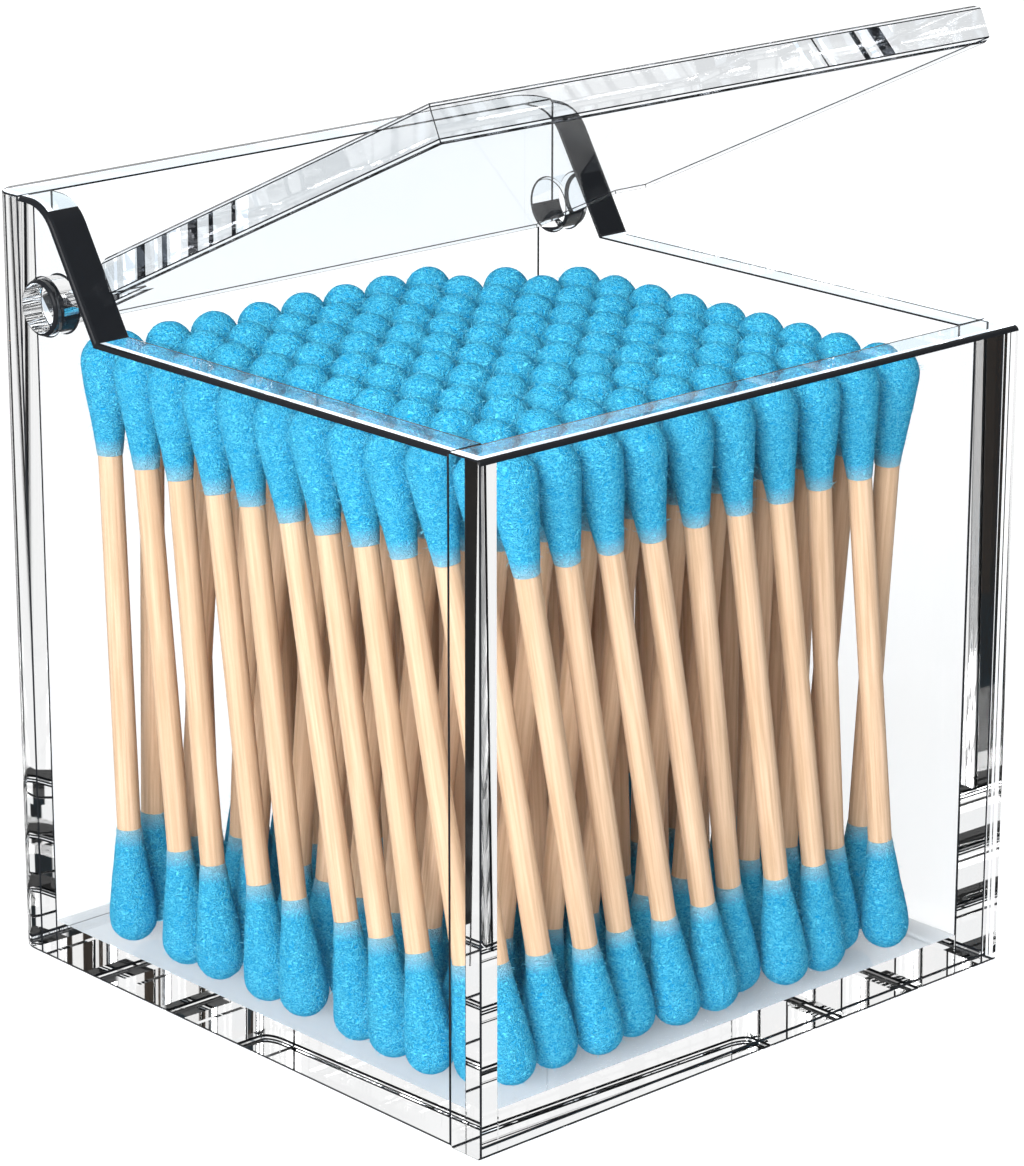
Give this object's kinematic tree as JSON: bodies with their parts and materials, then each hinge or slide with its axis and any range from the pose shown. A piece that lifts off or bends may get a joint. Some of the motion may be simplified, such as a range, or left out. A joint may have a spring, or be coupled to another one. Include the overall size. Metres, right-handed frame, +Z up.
{
  "type": "cotton swab holder",
  "caption": "Clear acrylic box with a hinged lid on stub pins between two ears, holding a standing bundle of cotton swabs with blue tips on bamboo sticks.",
  "frame": {"origin": "centre of the box's underside, on the surface it stands on", "axes": "+Z up, +Y towards the back panel and the hinge, +X to the right seen from the front"},
  "size_m": [0.0872, 0.085, 0.1166],
  "materials": {
    "clear_acrylic": "clear polished sheet",
    "bamboo": "fine sanded grain",
    "blue_cotton": "wound cotton, soft and fuzzy"
  },
  "bodies": {
    "holder": {"front_panel": "clear_acrylic", "back_panel": "clear_acrylic", "left_panel": "clear_acrylic", "right_panel": "clear_acrylic", "floor_panel": "clear_acrylic", "swab_sticks": "bamboo", "swab_upper_tips": "blue_cotton", "swab_lower_tips": "blue_cotton"},
    "lid": {"lid_panel": "clear_acrylic", "left_hinge_pin": "clear_acrylic", "right_hinge_pin": "clear_acrylic"}
  },
  "joints": [
    {"name": "lid_hinge", "type": "hinge", "parent": "holder", "child": "lid", "pos_m": [0, 0.0326, 0.08265], "axis": [-1, 0, 0], "range_deg": [-25.2, 70.8]}
  ]
}
